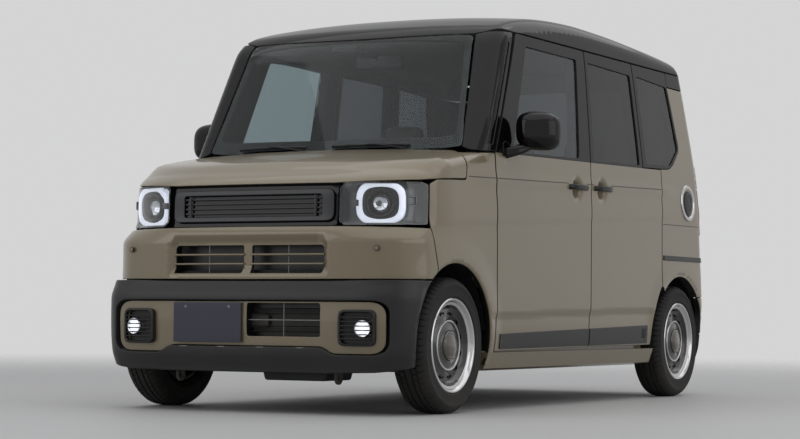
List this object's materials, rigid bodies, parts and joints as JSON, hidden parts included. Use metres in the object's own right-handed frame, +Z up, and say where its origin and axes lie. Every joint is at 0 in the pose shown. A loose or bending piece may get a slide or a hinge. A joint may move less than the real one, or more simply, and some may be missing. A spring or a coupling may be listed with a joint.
{
  "type": "kei car",
  "caption": "Tall one-box light city car with hinged front doors, sliding rear doors, lifting bonnet and tailgate, steered front wheels and a seated cabin.",
  "frame": {"origin": "on the ground, under the middle of the body", "axes": "+Z up, the nose points to -Y, the car's left side is +X"},
  "size_m": [1.863, 3.3937, 1.79],
  "materials": {
    "body_paint": "gloss",
    "gloss_black": "gloss",
    "underbody": "satin",
    "black_plastic": "matte",
    "grille_grey": "satin",
    "lamp_clear": "gloss",
    "lamp_red": "gloss",
    "glass": "gloss",
    "dark_glass": "gloss",
    "steel": "satin",
    "engine_block": "matte",
    "exhaust_steel": "satin",
    "dash_plastic": "matte",
    "seat_fabric": "matte",
    "tyre": "matte",
    "wheel_steel": "gloss"
  },
  "bodies": {
    "body": {"floor_pan": "underbody", "sills": "body_paint", "pillars": "gloss_black", "roof": "gloss_black", "quarter_panels": "body_paint", "cowl": "black_plastic", "fenders": "body_paint", "grille": "grille_grey", "front_lamps": "lamp_clear", "front_bumper": "body_paint", "bumper_guard": "black_plastic", "windscreen": "glass", "side_windows": "dark_glass", "sliding_door_left": "body_paint", "sliding_door_right": "body_paint", "tail_lamps": "lamp_red", "rear_bumper": "body_paint", "front_suspension": "steel", "rear_axle": "steel", "engine": "engine_block", "fuel_tank": "underbody", "exhaust": "exhaust_steel", "dashboard": "dash_plastic", "seats": "seat_fabric", "wipers": "black_plastic"},
    "bonnet": {"bonnet": "body_paint"},
    "front_door_left": {"front_door_left": "body_paint", "front_door_glass_left": "glass", "door_mirror_left": "gloss_black"},
    "front_door_right": {"front_door_right": "body_paint", "front_door_glass_right": "glass", "door_mirror_right": "gloss_black"},
    "tailgate": {"tailgate": "body_paint", "tailgate_window": "dark_glass"},
    "steering_wheel": {"steering_wheel": "dash_plastic"},
    "knuckle_left": {"knuckle_left": "steel"},
    "knuckle_right": {"knuckle_right": "steel"},
    "wheel_front_left": {"wheel_front_left": "wheel_steel", "tyre_front_left": "tyre"},
    "wheel_front_right": {"wheel_front_right": "wheel_steel", "tyre_front_right": "tyre"},
    "wheel_rear_left": {"wheel_rear_left": "wheel_steel", "tyre_rear_left": "tyre"},
    "wheel_rear_right": {"wheel_rear_right": "wheel_steel", "tyre_rear_right": "tyre"}
  },
  "joints": [
    {"name": "steering", "type": "hinge", "parent": "body", "child": "steering_wheel", "pos_m": [-0.33, -0.6095, 0.87], "axis": [0, 0.9135, 0.4067], "range_deg": [-540, 540]},
    {"name": "steer_left", "type": "hinge", "parent": "body", "child": "knuckle_left", "pos_m": [0.6405, -1.2335, 0.2785], "axis": [0, 0, 1], "range_deg": [-35, 35]},
    {"name": "steer_right", "type": "hinge", "parent": "body", "child": "knuckle_right", "pos_m": [-0.6405, -1.2335, 0.2785], "axis": [0, 0, 1], "range_deg": [-35, 35]},
    {"name": "bonnet_hinge", "type": "hinge", "parent": "body", "child": "bonnet", "pos_m": [0, -1.0255, 1.09], "axis": [-1, 0, 0], "range_deg": [0, 50]},
    {"name": "front_door_left_hinge", "type": "hinge", "parent": "body", "child": "front_door_left", "pos_m": [0.7185, -0.8905, 0.6], "axis": [0, 0, -1], "range_deg": [0, 70]},
    {"name": "front_door_right_hinge", "type": "hinge", "parent": "body", "child": "front_door_right", "pos_m": [-0.7185, -0.8905, 0.6], "axis": [0, 0, 1], "range_deg": [0, 70]},
    {"name": "tailgate_hinge", "type": "hinge", "parent": "body", "child": "tailgate", "pos_m": [0, 1.3835, 1.70327], "axis": [1, 0, 0], "range_deg": [0, 85]},
    {"name": "wheel_front_left_spin", "type": "hinge", "parent": "knuckle_left", "child": "wheel_front_left", "pos_m": [0.6525, -1.2335, 0.2785], "axis": [1, 0, 0], "continuous": true},
    {"name": "wheel_front_right_spin", "type": "hinge", "parent": "knuckle_right", "child": "wheel_front_right", "pos_m": [-0.6525, -1.2335, 0.2785], "axis": [1, 0, 0], "continuous": true},
    {"name": "wheel_rear_left_spin", "type": "hinge", "parent": "body", "child": "wheel_rear_left", "pos_m": [0.6525, 1.2865, 0.2785], "axis": [1, 0, 0], "continuous": true},
    {"name": "wheel_rear_right_spin", "type": "hinge", "parent": "body", "child": "wheel_rear_right", "pos_m": [-0.6525, 1.2865, 0.2785], "axis": [1, 0, 0], "continuous": true}
  ],
  "couplings": [
    {"joint": "steer_left", "follows": "steering", "ratio": 0.0648},
    {"joint": "steer_right", "follows": "steering", "ratio": 0.0648}
  ]
}
